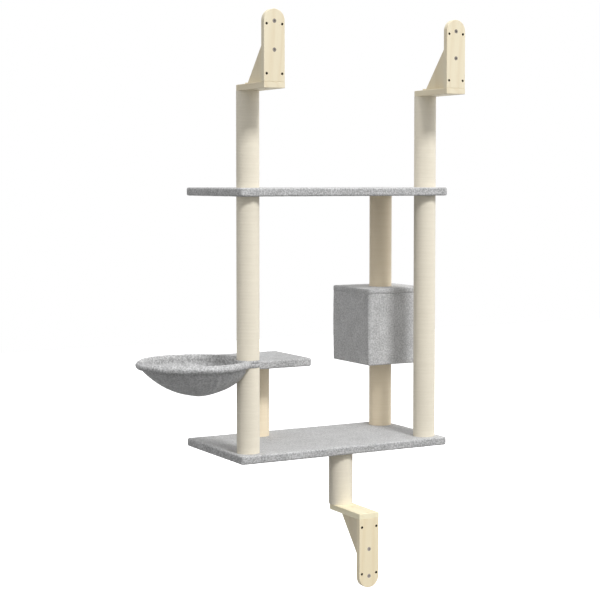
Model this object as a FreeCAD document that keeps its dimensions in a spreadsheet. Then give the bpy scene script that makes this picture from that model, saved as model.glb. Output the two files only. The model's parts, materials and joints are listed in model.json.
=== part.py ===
import FreeCAD, Part
import math
import os

import Sketcher

# Wall mounted cat tree: two shelves between rope-covered posts, hung on a wall by three
# timber brackets, with a small step shelf, a closed box on a post and a hammock on a ring.
# Frame: +Z up, the wall is the plane Y = 0 and the tree stands out from it towards -Y.
# The origin is the centre of the lower bracket's four wall holes, on the wall.

Vector = FreeCAD.Vector

# ------------------------------------------------------------------ driving sizes, mm
SIZES = [
    # brackets
    ("timber_thickness", 15.0, "arms, wall plates and gussets"),
    ("timber_width", 58.0, "arms and wall plates"),
    ("timber_ease", 0.8, "bevel of the timber's edges"),
    ("plate_height", 178.0, "wall plate, from the arm to its round end"),
    ("post_to_wall", 143.7, "axis of the wall-side posts to the wall"),
    ("wall_hole_diameter", 6.0, "four wall holes in each plate"),
    ("wall_hole_spread", 43.0, "wall holes, across"),
    ("wall_hole_pitch", 121.0, "wall holes, along the plate"),
    ("wall_hole_first", 35.0, "first wall holes, from the arm's post face"),
    ("gusset_reach", 133.0, "gusset foot, from the wall"),
    ("gusset_slope", 1.2, "rise of the gusset's edge per millimetre"),
    ("gusset_tip_depth", 25.0, "gusset tip, out from the plate"),
    ("gusset_tip_height", 172.0, "gusset tip, from the arm's post face"),
    ("screw_shank", 4.5, "timber screw"),
    ("screw_head", 10.5, "timber screw's countersunk head"),
    ("screw_length", 38.0, "timber screw, head included"),
    ("screw_socket", 4.6, "six-sided socket, across corners"),
    ("screw_socket_depth", 2.2, "six-sided socket, depth"),
    ("plate_screw_near", 93.0, "nearer plate screw, from the arm's post face"),
    ("plate_screw_far", 163.0, "farther plate screw, from the arm's post face"),
    ("arm_screw_out", 85.0, "screw from the arm into the gusset, from the wall"),
    # posts
    ("wall_post_diameter", 59.0, "posts on the wall side, rope included"),
    ("rear_post_diameter", 63.0, "posts away from the wall and the lower post"),
    ("rope_thickness", 4.0, "one layer of rope round the cardboard tube"),
    ("tube_wall", 3.0, "cardboard tube"),
    ("plug_height", 25.0, "threaded eight-sided plug in each tube end"),
    ("post_half_spacing", 269.2, "wall-side posts, from the tree's middle"),
    ("tree_middle", 5.7, "middle of the shelves, from the lower post"),
    ("rear_post_to_wall", 367.5, "axis of the rear posts to the wall"),
    ("step_post_offset", 124.9, "step post, from the tree's middle"),
    ("lower_post_length", 136.5, "post under the base shelf"),
    ("storey_height", 654.4, "clear height between the shelves"),
    ("upper_post_length", 244.4, "posts above the top shelf"),
    ("box_stand_height", 183.0, "post under the box"),
    ("step_stand_height", 198.0, "post under the step shelf"),
    ("hammock_stand_height", 219.5, "post under the hammock's hub"),
    # shelves
    ("board_thickness", 15.0, "all shelf boards"),
    ("plush_thickness", 3.5, "plush cloth on boards, box and hub, pile included"),
    ("plush_edge", 2.5, "bevel of the covered edges"),
    ("shelf_length", 623.0, "base and top shelf, along the wall"),
    ("shelf_depth", 329.0, "base and top shelf, out from the wall"),
    ("shelf_to_wall", 95.4, "near edge of base and top shelf to the wall"),
    ("shelf_corner", 6.0, "corner radius of the covered shelves"),
    ("step_length", 222.5, "step shelf, along the wall"),
    ("step_depth", 205.0, "step shelf, out from the wall"),
    ("step_to_wall", 236.0, "near edge of the step shelf to the wall"),
    ("step_overhang", 127.1, "step shelf, from its post to the hammock side"),
    # box
    ("box_side", 196.0, "box, outside, in plan"),
    ("box_height", 212.3, "box, outside, in height"),
    ("box_panel", 10.0, "box panels"),
    ("box_corner", 4.0, "corner radius of the covered box"),
    ("entrance_diameter", 124.0, "round way in, inside its plush edge"),
    # hammock
    ("ring_radius", 138.5, "hammock ring, to the middle of its wire"),
    ("ring_wire", 8.0, "hammock ring's wire"),
    ("rim_diameter", 16.5, "plush roll round the ring"),
    ("ring_turn", 20.7, "ring, turned away from the wall, degrees"),
    ("hub_diameter", 62.0, "covered hub between two posts"),
    ("hub_thickness", 19.0, "covered hub between two posts"),
    ("hub_core_height", 15.0, "steel tab that the ring is welded to, with a disc on either side"),
    ("hub_clearance", 0.3, "hub to the post above and below"),
    ("bowl_depth", 80.0, "hammock bowl, below the ring"),
    ("bowl_cloth", 2.5, "hammock cloth"),
    ("bowl_clearance", 2.0, "hammock cloth to the post that it goes round"),
    ("bowl_drift", 11.0, "lowest point of the bowl, from the ring's middle towards the post"),
    # fasteners
    ("stud_diameter", 8.0, "bolts and studs in the posts"),
    ("stud_grip", 22.0, "bolt or stud inside a plug"),
    ("bolt_head_across", 13.0, "six-sided bolt head, across flats"),
    ("bolt_head_height", 5.3, "six-sided bolt head"),
    ("flush_head_diameter", 18.0, "flat head under the shelf plush"),
    ("flush_head_height", 3.0, "flat head under the shelf plush"),
    ("stud_clearance", 0.2, "bolt or stud in a board, on the radius"),
    ("snug_clearance", 0.05, "parts pushed together by hand, on the radius"),
    ("overcut", 1.0, "reach of a cutting form past what it cuts"),
]

doc = FreeCAD.newDocument("wall_cat_tree")
sizes = doc.addObject("Spreadsheet::Sheet", "sizes")
for row, (name, value, meaning) in enumerate(SIZES, start=1):
    sizes.set("A%d" % row, str(value))
    sizes.setAlias("A%d" % row, name)
    sizes.set("B%d" % row, meaning)
doc.recompute()

# ------------------------------------------------------------------ heights and places
levels = doc.addObject("App::VarSet", "levels")
LEVELS = [
    # heights above the origin
    ("lower_arm_face", "sizes.wall_hole_first + sizes.wall_hole_pitch / 2"),
    ("covered_board", "sizes.board_thickness + 2 * sizes.plush_thickness"),
    ("base_underside", "levels.lower_arm_face + sizes.lower_post_length"),
    ("base_top", "levels.base_underside + levels.covered_board"),
    ("top_underside", "levels.base_top + sizes.storey_height"),
    ("top_top", "levels.top_underside + levels.covered_board"),
    ("upper_arm_face", "levels.top_top + sizes.upper_post_length"),
    ("box_underside", "levels.base_top + sizes.box_stand_height"),
    ("box_top", "levels.box_underside + sizes.box_height"),
    ("step_underside", "levels.base_top + sizes.step_stand_height"),
    ("step_top", "levels.step_underside + levels.covered_board"),
    ("hub_underside", "levels.base_top + sizes.hammock_stand_height"),
    ("hub_top", "levels.hub_underside + sizes.hub_thickness"),
    ("ring_level", "levels.hub_underside + sizes.hub_thickness / 2"),
    # places in plan
    ("wall_row", "-sizes.post_to_wall"),
    ("rear_row", "-sizes.rear_post_to_wall"),
    ("left_post", "sizes.tree_middle + sizes.post_half_spacing"),
    ("right_post", "sizes.tree_middle - sizes.post_half_spacing"),
    ("step_post", "sizes.tree_middle + sizes.step_post_offset"),
    ("ring_x", "levels.left_post + sizes.ring_radius * cos(sizes.ring_turn)"),
    ("ring_y", "levels.wall_row - sizes.ring_radius * sin(sizes.ring_turn)"),
    # derived radii
    ("wall_post_radius", "sizes.wall_post_diameter / 2"),
    ("bore_radius", "sizes.stud_diameter / 2 + sizes.stud_clearance"),
    ("snug_bore_radius", "sizes.stud_diameter / 2 + sizes.snug_clearance"),
    ("bowl_curve", "(sizes.ring_radius ^ 2 + sizes.bowl_depth ^ 2) / (2 * sizes.bowl_depth)"),
]
for name, expression in LEVELS:
    levels.addProperty("App::PropertyFloat", name, "levels")
    levels.setExpression(name, expression)
    doc.recompute()


def number(expression):
    """Present value of an expression over the sheet."""
    return float(levels.evalExpression(expression))


# ------------------------------------------------------------------ small builders
nodes = []
UPRIGHT = FreeCAD.Rotation()
OVER = FreeCAD.Rotation(Vector(1, 0, 0), 180)
ROUND = FreeCAD.Rotation(Vector(0, 0, 1), 180)
INTO_ROOM = FreeCAD.Rotation(Vector(1, 0, 0), 90)


def keep(thing, node):
    """Name a finished sub-part: its label becomes its file's name."""
    thing.Label = node
    nodes.append(thing)
    return thing


def put(thing, x="0", y="0", z="0", turn=UPRIGHT):
    """Place an object by expressions, with a fixed turn."""
    thing.Placement = FreeCAD.Placement(Vector(0, 0, 0), turn)
    for axis, expression in (("x", x), ("y", y), ("z", z)):
        thing.setExpression("Placement.Base." + axis, expression)
    return thing


def cylinder(name, radius, height, x="0", y="0", z="0", turn=UPRIGHT):
    thing = doc.addObject("Part::Cylinder", name)
    thing.setExpression("Radius", radius)
    thing.setExpression("Height", height)
    return put(thing, x, y, z, turn)


def cut(name, base, tool):
    thing = doc.addObject("Part::Cut", name)
    thing.Base = base
    thing.Tool = tool
    return thing


def fuse(name, *parts):
    thing = doc.addObject("Part::MultiFuse", name)
    thing.Shapes = list(parts)
    return thing


def group(name, members):
    """Several like solids in one sub-part."""
    thing = doc.addObject("Part::Compound", name)
    thing.Links = members
    return keep(thing, name)


def copy_of(master, name, x, y, z, turn=UPRIGHT):
    """A linked copy of one fastener, at its own place."""
    link = doc.addObject("App::Link", name)
    link.LinkedObject = master
    return put(link, x, y, z, turn)


def sketch_on(body, role, name):
    """A sketch on one of the body's own origin planes."""
    plane = [f for f in body.Origin.OriginFeatures if f.Role == role][0]
    sketch = body.newObject("Sketcher::SketchObject", name)
    sketch.AttachmentSupport = [(plane, "")]
    sketch.MapMode = "FlatFace"
    return sketch


def bind(sketch, kind, name, expression, *elements):
    """A named dimension that follows an expression."""
    constraint = Sketcher.Constraint(kind, *elements, number(expression))
    sketch.renameConstraint(sketch.addConstraint(constraint), name)
    sketch.setExpression("Constraints." + name, expression)


def polygon(sketch, corners):
    """Closed outline with straight sides; each corner is a pair of expressions."""
    spots = [Vector(number(x), number(y), 0) for x, y in corners]
    count = len(corners)
    sides = []
    for index in range(count):
        side = Part.LineSegment(spots[index], spots[(index + 1) % count])
        sides.append(sketch.addGeometry(side, False))
    for index in range(count):
        follower = sides[(index + 1) % count]
        sketch.addConstraint(Sketcher.Constraint("Coincident", sides[index], 2, follower, 1))
    for index, (x, y) in enumerate(corners):
        bind(sketch, "DistanceX", "corner_%d_x" % index, x, -1, 1, sides[index], 1)
        bind(sketch, "DistanceY", "corner_%d_y" % index, y, -1, 1, sides[index], 1)


def circle(sketch, name, radius, x, y):
    """Circle whose radius and centre follow expressions."""
    middle = Vector(number(x), number(y), 0)
    index = sketch.addGeometry(Part.Circle(middle, Vector(0, 0, 1), number(radius)), False)
    bind(sketch, "Radius", name + "_radius", radius, index)
    bind(sketch, "DistanceX", name + "_x", x, -1, 1, index, 3)
    bind(sketch, "DistanceY", name + "_y", y, -1, 1, index, 3)


def round_ended(sketch, half_width, start, centre):
    """Straight strip from start, with a half-round end about centre, along the sketch's Y."""
    half = number(half_width)
    low = number(start)
    high = number(centre)
    foot = sketch.addGeometry(Part.LineSegment(Vector(-half, low, 0), Vector(half, low, 0)), False)
    right = sketch.addGeometry(Part.LineSegment(Vector(half, low, 0), Vector(half, high, 0)), False)
    bend = Part.Circle(Vector(0, high, 0), Vector(0, 0, 1), half)
    end = sketch.addGeometry(Part.ArcOfCircle(bend, 0, math.pi), False)
    left = sketch.addGeometry(Part.LineSegment(Vector(-half, high, 0), Vector(-half, low, 0)), False)
    for first, second in ((foot, right), (right, end), (end, left), (left, foot)):
        sketch.addConstraint(Sketcher.Constraint("Coincident", first, 2, second, 1))
    sketch.addConstraint(Sketcher.Constraint("Horizontal", foot))
    sketch.addConstraint(Sketcher.Constraint("Vertical", right))
    sketch.addConstraint(Sketcher.Constraint("Vertical", left))
    sketch.addConstraint(Sketcher.Constraint("PointOnObject", end, 3, -2))
    sketch.addConstraint(Sketcher.Constraint("Horizontal", end, 3, end, 1))
    sketch.addConstraint(Sketcher.Constraint("Horizontal", end, 3, end, 2))
    bind(sketch, "Radius", "end_radius", half_width, end)
    bind(sketch, "DistanceY", "start", start, -1, 1, foot, 1)
    bind(sketch, "DistanceY", "centre", centre, -1, 1, end, 3)


def pad(body, sketch, length, backwards=False, symmetric=False):
    feature = body.newObject("PartDesign::Pad", body.Name + "_pad")
    feature.Profile = sketch
    feature.setExpression("Length", length)
    feature.Reversed = backwards
    if symmetric:
        feature.SideType = "Symmetric"
    doc.recompute()
    return feature


def dress(body, feature, kind, size, wanted):
    """Fillet or chamfer on the edges of a feature that the test accepts."""
    names = []
    for index, edge in enumerate(feature.Shape.Edges, start=1):
        if wanted(edge):
            names.append("Edge%d" % index)
    dressing = body.newObject("PartDesign::" + kind, "%s_%s" % (body.Name, kind.lower()))
    dressing.Base = (feature, names)
    dressing.setExpression("Radius" if kind == "Fillet" else "Size", size)
    doc.recompute()
    return dressing


def square_to(axis):
    """Test for edges that run square to an axis at their start."""
    return lambda edge: abs(edge.tangentAt(edge.FirstParameter).dot(axis)) < 0.5


def drill(body, sketch, blind=None):
    """Plain holes through the body both ways, or blind from the sketch to a depth."""
    before = body.Shape.Volume
    pocket = body.newObject("PartDesign::Pocket", sketch.Name + "_holes")
    pocket.Profile = sketch
    if blind is None:
        pocket.Type = "ThroughAll"
        pocket.SideType = "Symmetric"
    else:
        pocket.Type = "Length"
        pocket.setExpression("Length", blind)
    doc.recompute()
    if body.Shape.Volume > before - 1:
        pocket.Reversed = True
        doc.recompute()
    if body.Shape.Volume > before - 1:
        raise RuntimeError("holes cut nothing: " + sketch.Name)


def countersink(body, sketch, backwards=False):
    """Clearance holes with a countersink for the timber screws."""
    doc.recompute()
    before = body.Shape.Volume
    hole = body.newObject("PartDesign::Hole", sketch.Name + "_sunk")
    hole.Profile = sketch
    hole.ThreadType = "None"
    hole.DepthType = "ThroughAll"
    hole.Reversed = backwards
    hole.setExpression("Diameter", "sizes.screw_shank + 2 * sizes.snug_clearance")
    hole.HoleCutType = "Countersink"
    hole.HoleCutCustomValues = True
    hole.setExpression("HoleCutDiameter", "sizes.screw_head + 2 * sizes.snug_clearance")
    hole.HoleCutCountersinkAngle = 90
    doc.recompute()
    if body.Shape.Volume > before - 1:
        raise RuntimeError("countersinks cut nothing: " + sketch.Name)


# ------------------------------------------------------------------ fasteners, each made once
def prism(name, sides, circumradius, height, x="0", y="0", z="0"):
    thing = doc.addObject("Part::Prism", name)
    thing.Polygon = sides
    thing.setExpression("Circumradius", circumradius)
    thing.setExpression("Height", height)
    return put(thing, x, y, z)


def timber_screw():
    """Countersunk screw with a six-sided socket, head at the origin, along +Z."""
    sink = "(sizes.screw_head - sizes.screw_shank) / 2"
    head = doc.addObject("Part::Cone", "screw_head_cone")
    head.setExpression("Radius1", "sizes.screw_head / 2")
    head.setExpression("Radius2", "sizes.screw_shank / 2")
    head.setExpression("Height", sink)
    shank = prism("screw_shank_rod", 6, "sizes.screw_shank / 2", "sizes.screw_length - " + sink, z=sink)
    solid = fuse("screw_solid", head, shank)
    socket = prism("screw_socket_form", 6, "sizes.screw_socket / 2", "sizes.screw_socket_depth")
    return cut("timber_screw", solid, socket)


def bolt(name, grip, x, y, z, turn):
    """Bolt whose six-sided head seats at z, with a shank through grip and into a plug."""
    head = prism(name + "_head", 6, "sizes.bolt_head_across / 2 / cos(30)", "sizes.bolt_head_height",
                 z="-sizes.bolt_head_height")
    shank = cylinder(name + "_shank", "sizes.stud_diameter / 2", "sizes.stud_grip + " + grip)
    return put(fuse(name, head, shank), x, y, z, turn)


def flush_bolt(name, x, y, board_top):
    """Flat-headed bolt let into a board under its plush, shank downwards."""
    head = cylinder(name + "_head", "sizes.flush_head_diameter / 2", "sizes.flush_head_height")
    length = "levels.covered_board - sizes.plush_thickness + sizes.stud_grip"
    shank = cylinder(name + "_shank", "sizes.stud_diameter / 2", length)
    return put(fuse(name, head, shank), x, y, board_top, OVER)


screw = timber_screw()


# ------------------------------------------------------------------ brackets
def bracket(side, x, face, turn, sign):
    """Arm, wall plate and gusset, drawn with +Y out from the wall and +Z away from the post."""
    arm = doc.addObject("PartDesign::Body", side + "_arm_body")
    strip = sketch_on(arm, "XY_Plane", side + "_arm_outline")
    round_ended(strip, "sizes.timber_width / 2", "0", "sizes.post_to_wall")
    plank = pad(arm, strip, "sizes.timber_thickness")
    dress(arm, plank, "Chamfer", "sizes.timber_ease", square_to(Vector(0, 0, 1)))
    bolt_hole = sketch_on(arm, "XY_Plane", side + "_arm_bolt_hole")
    circle(bolt_hole, "bolt", "levels.bore_radius", "0", "sizes.post_to_wall")
    drill(arm, bolt_hole)
    holes = sketch_on(arm, "XY_Plane", side + "_arm_screw_holes")
    shank = "sizes.screw_shank / 2"
    circle(holes, "plate_screw", shank, "0", "sizes.timber_thickness / 2")
    circle(holes, "gusset_screw", shank, "0", "sizes.arm_screw_out")
    countersink(arm, holes, backwards=True)
    keep(put(arm, x, "0", face, turn), side + "_bracket_arm")

    plate = doc.addObject("PartDesign::Body", side + "_plate_body")
    strip = sketch_on(plate, "XZ_Plane", side + "_plate_outline")
    centre = "sizes.timber_thickness + sizes.plate_height - sizes.timber_width / 2"
    round_ended(strip, "sizes.timber_width / 2", "sizes.timber_thickness", centre)
    plank = pad(plate, strip, "sizes.timber_thickness", backwards=True)
    dress(plate, plank, "Chamfer", "sizes.timber_ease", square_to(Vector(0, 1, 0)))
    holes = sketch_on(plate, "XZ_Plane", side + "_wall_holes")
    for across in ("-", ""):
        for along in ("", " + sizes.wall_hole_pitch"):
            spot = "hole_%s_%s" % ("left" if across else "right", "far" if along else "near")
            circle(holes, spot, "sizes.wall_hole_diameter / 2",
                   across + "sizes.wall_hole_spread / 2", "sizes.wall_hole_first" + along)
    drill(plate, holes)
    pilot = sketch_on(plate, "XY_Plane", side + "_end_pilot")
    circle(pilot, "end", "sizes.screw_shank / 2 + sizes.snug_clearance", "0", "sizes.timber_thickness / 2")
    drill(plate, pilot, blind="sizes.screw_length + sizes.overcut")
    heads = sketch_on(plate, "XZ_Plane", side + "_plate_screw_holes")
    circle(heads, "near", shank, "0", "sizes.plate_screw_near")
    circle(heads, "far", shank, "0", "sizes.plate_screw_far")
    countersink(plate, heads)
    keep(put(plate, x, "0", face, turn), side + "_wall_plate")

    gusset = doc.addObject("PartDesign::Body", side + "_gusset_body")
    outline = sketch_on(gusset, "YZ_Plane", side + "_gusset_outline")
    inside = "sizes.timber_thickness"
    tip = "sizes.timber_thickness + sizes.gusset_tip_depth"
    shoulder = inside + " + sizes.gusset_slope * (sizes.gusset_reach - (%s))" % tip
    polygon(outline, [(inside, inside), ("sizes.gusset_reach", inside), (tip, shoulder),
                      (tip, "sizes.gusset_tip_height"), (inside, "sizes.gusset_tip_height")])
    plank = pad(gusset, outline, "sizes.timber_thickness", symmetric=True)
    edge_of_plate = number(inside) + 0.1

    def outer(edge):
        """Edges round the slanted and blunt sides, not those on the arm or the plate."""
        return edge.CenterOfMass.y > edge_of_plate and edge.CenterOfMass.z > edge_of_plate

    dress(gusset, plank, "Chamfer", "sizes.timber_ease", outer)
    pilots = sketch_on(gusset, "XZ_Plane", side + "_gusset_plate_pilots")
    for name in ("near", "far"):
        circle(pilots, name, "sizes.screw_shank / 2 + sizes.snug_clearance", "0", "sizes.plate_screw_" + name)
    drill(gusset, pilots, blind="sizes.screw_length + sizes.overcut")
    pilots = sketch_on(gusset, "XY_Plane", side + "_gusset_arm_pilot")
    circle(pilots, "arm", "sizes.screw_shank / 2 + sizes.snug_clearance", "0", "sizes.arm_screw_out")
    drill(gusset, pilots, blind="sizes.screw_length + sizes.overcut")
    keep(put(gusset, x, "0", face, turn), side + "_gusset")

    away = UPRIGHT if sign > 0 else OVER
    for name in ("near", "far"):
        height = "%s + %d * sizes.plate_screw_%s" % (face, sign, name)
        plate_screws.append(copy_of(screw, side + "_plate_screw_" + name, x, "0", height, INTO_ROOM))
    for name, out in (("plate", "-sizes.timber_thickness / 2"), ("gusset", "-sizes.arm_screw_out")):
        arm_screws.append(copy_of(screw, side + "_arm_screw_" + name, x, out, face, away))
    seat = "%s + %d * sizes.timber_thickness" % (face, sign)
    toward_post = OVER if sign > 0 else UPRIGHT
    bolts.append(bolt(side + "_arm_bolt", "sizes.timber_thickness", x, "levels.wall_row", seat, toward_post))


plate_screws = []
arm_screws = []
bolts = []
bracket("left", "levels.left_post", "levels.upper_arm_face", ROUND, 1)
bracket("right", "levels.right_post", "levels.upper_arm_face", ROUND, 1)
bracket("lower", "0", "levels.lower_arm_face", OVER, -1)
group("plate_screws", plate_screws)
group("arm_screws", arm_screws)


# ------------------------------------------------------------------ covered shelves
def block(name, half_x, half_y, height, x, y, z):
    """Plain block about its own middle in plan, standing at z."""
    thing = doc.addObject("Part::Box", name)
    thing.setExpression("Length", "2 * (%s)" % half_x)
    thing.setExpression("Width", "2 * (%s)" % half_y)
    thing.setExpression("Height", height)
    return put(thing, "%s - (%s)" % (x, half_x), "%s - (%s)" % (y, half_y), z)


def slab(name, half_x, half_y, height, corner, edge):
    """Rounded cover, standing on the local XY plane about its own middle."""
    body = doc.addObject("PartDesign::Body", name)
    outline = sketch_on(body, "XY_Plane", name + "_outline")
    polygon(outline, [("-(%s)" % half_x, "-(%s)" % half_y), (half_x, "-(%s)" % half_y),
                      (half_x, half_y), ("-(%s)" % half_x, half_y)])
    square = pad(body, outline, height)
    corners = dress(body, square, "Fillet", corner, lambda edge: not square_to(Vector(0, 0, 1))(edge))
    dress(body, corners, "Chamfer", edge, square_to(Vector(0, 0, 1)))
    return body


def shelf(node, half_x, half_y, x, y, z, bores, sinks):
    """Board wrapped in plush, with through bores and, in the board, sinks for flat heads."""
    cover_form = slab(node + "_cover_form", half_x, half_y, "levels.covered_board",
                      "sizes.shelf_corner", "sizes.plush_edge")
    board_form = block(node + "_board_form", half_x + " - sizes.plush_thickness",
                       half_y + " - sizes.plush_thickness", "sizes.board_thickness",
                       x, y, z + " + sizes.plush_thickness")
    put(cover_form, x, y, z)
    tools = []
    for index, (bore_x, bore_y) in enumerate(bores):
        tools.append(cylinder("%s_bore_%d" % (node, index), "levels.bore_radius",
                              "3 * levels.covered_board", bore_x, bore_y, z + " - levels.covered_board"))
    board_tools = list(tools)
    cover_tools = list(tools)
    for index, (bore_x, bore_y) in enumerate(sinks):
        board_tools.append(cylinder("%s_sink_%d" % (node, index),
                                    "sizes.flush_head_diameter / 2 + sizes.stud_clearance",
                                    "sizes.flush_head_height", bore_x, bore_y,
                                    z + " + levels.covered_board - sizes.plush_thickness"
                                    " - sizes.flush_head_height"))
        bore_height = "levels.covered_board / 2"
        lower_bore = cylinder("%s_sink_bore_%d" % (node, index), "levels.bore_radius",
                              bore_height, bore_x, bore_y, z + " - sizes.overcut")
        board_bore = cylinder("%s_sink_board_bore_%d" % (node, index), "levels.bore_radius",
                              "sizes.board_thickness", bore_x, bore_y, z + " + sizes.plush_thickness")
        board_tools.append(board_bore)
        cover_tools.append(lower_bore)
    keep(cut(node + "_board_cut", board_form, fuse(node + "_board_tools", *board_tools)), node + "_board")
    hollow = fuse(node + "_cover_tools", board_form, *cover_tools)
    keep(cut(node + "_cover_cut", cover_form, hollow), node + "_cover")


left = ("levels.left_post", "levels.wall_row")
right = ("levels.right_post", "levels.wall_row")
rear = ("levels.right_post", "levels.rear_row")
step_spot = ("levels.step_post", "levels.rear_row")
lower = ("0", "levels.wall_row")
half_length = "sizes.shelf_length / 2"
half_depth = "sizes.shelf_depth / 2"
shelf_y = "-sizes.shelf_to_wall - sizes.shelf_depth / 2"
shelf("base", half_length, half_depth, "sizes.tree_middle", shelf_y, "levels.base_underside",
      bores=[left, right, rear, step_spot], sinks=[lower])
shelf("top", half_length, half_depth, "sizes.tree_middle", shelf_y, "levels.top_underside",
      bores=[left, right], sinks=[rear])
shelf("step", "sizes.step_length / 2", "sizes.step_depth / 2",
      "levels.step_post + sizes.step_overhang - sizes.step_length / 2",
      "-sizes.step_to_wall - sizes.step_depth / 2", "levels.step_underside",
      bores=[], sinks=[step_spot])


# ------------------------------------------------------------------ posts
plugs = []


def post(node, spot, z, length, diameter):
    """Cardboard tube with a threaded plug in each end, under one layer of rope."""
    x, y = spot
    outer = "sizes.%s / 2" % diameter
    core_outer = outer + " - sizes.rope_thickness"
    core_inner = core_outer + " - sizes.tube_wall"
    long_bore = "(%s) + 2 * sizes.overcut" % length
    below = z + " - sizes.overcut"
    tube = cylinder(node + "_core_outside", core_outer + " - sizes.snug_clearance", length, x, y, z)
    hollow = cylinder(node + "_core_hollow", core_inner, long_bore, x, y, below)
    keep(cut(node + "_core_cut", tube, hollow), node + "_post_core")
    sleeve = cut(node + "_sleeve_cut",
                 cylinder(node + "_sleeve_outside", outer, length, x, y, z),
                 cylinder(node + "_sleeve_inside", core_outer, long_bore, x, y, below))
    keep(sleeve, node + "_post_rope")
    for end, height in (("low", z), ("high", "%s + %s - sizes.plug_height" % (z, length))):
        plug = prism("%s_plug_%s" % (node, end), 8, core_inner + " - sizes.snug_clearance",
                     "sizes.plug_height", x, y, height)
        thread = cylinder("%s_thread_%s" % (node, end), "levels.snug_bore_radius", "3 * sizes.plug_height",
                          x, y, height + " - sizes.plug_height")
        plugs.append(cut("%s_plug_bored_%s" % (node, end), plug, thread))


wall_size = "wall_post_diameter"
rear_size = "rear_post_diameter"
post("lower", lower, "levels.lower_arm_face", "sizes.lower_post_length", rear_size)
post("left_bottom", left, "levels.base_top", "sizes.hammock_stand_height", wall_size)
post("left_middle", left, "levels.hub_top", "(levels.top_underside - levels.hub_top)", wall_size)
post("left_upper", left, "levels.top_top", "sizes.upper_post_length", wall_size)
post("right_middle", right, "levels.base_top", "sizes.storey_height", wall_size)
post("right_upper", right, "levels.top_top", "sizes.upper_post_length", wall_size)
post("box_stand", rear, "levels.base_top", "sizes.box_stand_height", rear_size)
post("box_top", rear, "levels.box_top", "(levels.top_underside - levels.box_top)", rear_size)
post("step_stand", step_spot, "levels.base_top", "sizes.step_stand_height", rear_size)
group("post_plugs", plugs)

# Bolts from below the base shelf and from inside the box, studs between posts.
for side, spot in (("left", left), ("right", right), ("box", rear), ("step", step_spot)):
    bolts.append(bolt(side + "_base_bolt", "levels.covered_board", *spot, "levels.base_underside", UPRIGHT))
covered_panel = "(sizes.box_panel + sizes.plush_thickness)"
for end, height, turn in (("floor", "levels.box_underside + " + covered_panel, OVER),
                          ("roof", "levels.box_top - " + covered_panel, UPRIGHT)):
    bolts.append(bolt("box_%s_bolt" % end, covered_panel, *rear, height, turn))
group("post_bolts", bolts)
group("shelf_bolts", [
    flush_bolt("lower_post_bolt", *lower, "levels.base_top - sizes.plush_thickness"),
    flush_bolt("box_post_bolt", *rear, "levels.top_top - sizes.plush_thickness"),
    flush_bolt("step_post_bolt", *step_spot, "levels.step_top - sizes.plush_thickness"),
])
stud_length = "levels.covered_board + 2 * sizes.stud_grip"
hub_stud_length = "sizes.hub_thickness + 2 * sizes.stud_grip"
group("post_studs", [
    cylinder(side + "_stud", "sizes.stud_diameter / 2", stud_length, *spot,
             "levels.top_underside - sizes.stud_grip")
    for side, spot in (("left", left), ("right", right))
])
keep(cylinder("hammock_stud_rod", "sizes.stud_diameter / 2", hub_stud_length, *left,
              "levels.hub_underside - sizes.stud_grip"), "hammock_stud")


# ------------------------------------------------------------------ box
def panel(node, length, width, x, y, z, turn=UPRIGHT, hole=None, hole_up=None):
    """Flat panel about its own middle in plan, panel thickness along local +Z."""
    body = doc.addObject("PartDesign::Body", node + "_body")
    outline = sketch_on(body, "XY_Plane", node + "_outline")
    polygon(outline, [("-(%s) / 2" % length, "-(%s) / 2" % width), ("(%s) / 2" % length, "-(%s) / 2" % width),
                      ("(%s) / 2" % length, "(%s) / 2" % width), ("-(%s) / 2" % length, "(%s) / 2" % width)])
    if hole:
        circle(outline, "hole", hole, "0", hole_up or "0")
    pad(body, outline, "sizes.box_panel")
    return keep(put(body, x, y, z, turn), node)


box_x = "levels.right_post"
box_y = "levels.rear_row"
core_side = "(sizes.box_side - 2 * sizes.plush_thickness)"
core_height = "(sizes.box_height - 2 * sizes.plush_thickness)"
wall_height = "(sizes.box_height - 2 * sizes.plush_thickness - 2 * sizes.box_panel)"
between = "(sizes.box_side - 2 * sizes.plush_thickness - 2 * sizes.box_panel)"
core_base = "levels.box_underside + sizes.plush_thickness"
middle_height = "levels.box_underside + sizes.box_height / 2"
half_core = "sizes.box_side / 2 - sizes.plush_thickness"
panel_hole = "sizes.entrance_diameter / 2 + sizes.plush_thickness"
ON_EDGE = FreeCAD.Rotation(Vector(0, 1, 0), 90)

panel("box_floor", core_side, core_side, box_x, box_y, core_base, hole="levels.bore_radius")
panel("box_roof", core_side, core_side, box_x, box_y,
      "levels.box_top - sizes.plush_thickness - sizes.box_panel", hole="levels.bore_radius")
panel("box_left_wall", wall_height, core_side, box_x + " + %s - sizes.box_panel" % half_core,
      box_y, middle_height, ON_EDGE)
panel("box_right_wall", wall_height, core_side, box_x + " - (%s)" % half_core,
      box_y, middle_height, ON_EDGE)
panel("box_wall_side", between, wall_height, box_x, box_y + " + " + half_core, middle_height, INTO_ROOM)
panel("box_entrance_wall", between, wall_height, box_x,
      box_y + " - (%s) + sizes.box_panel" % half_core, middle_height, INTO_ROOM, hole=panel_hole)

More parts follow.
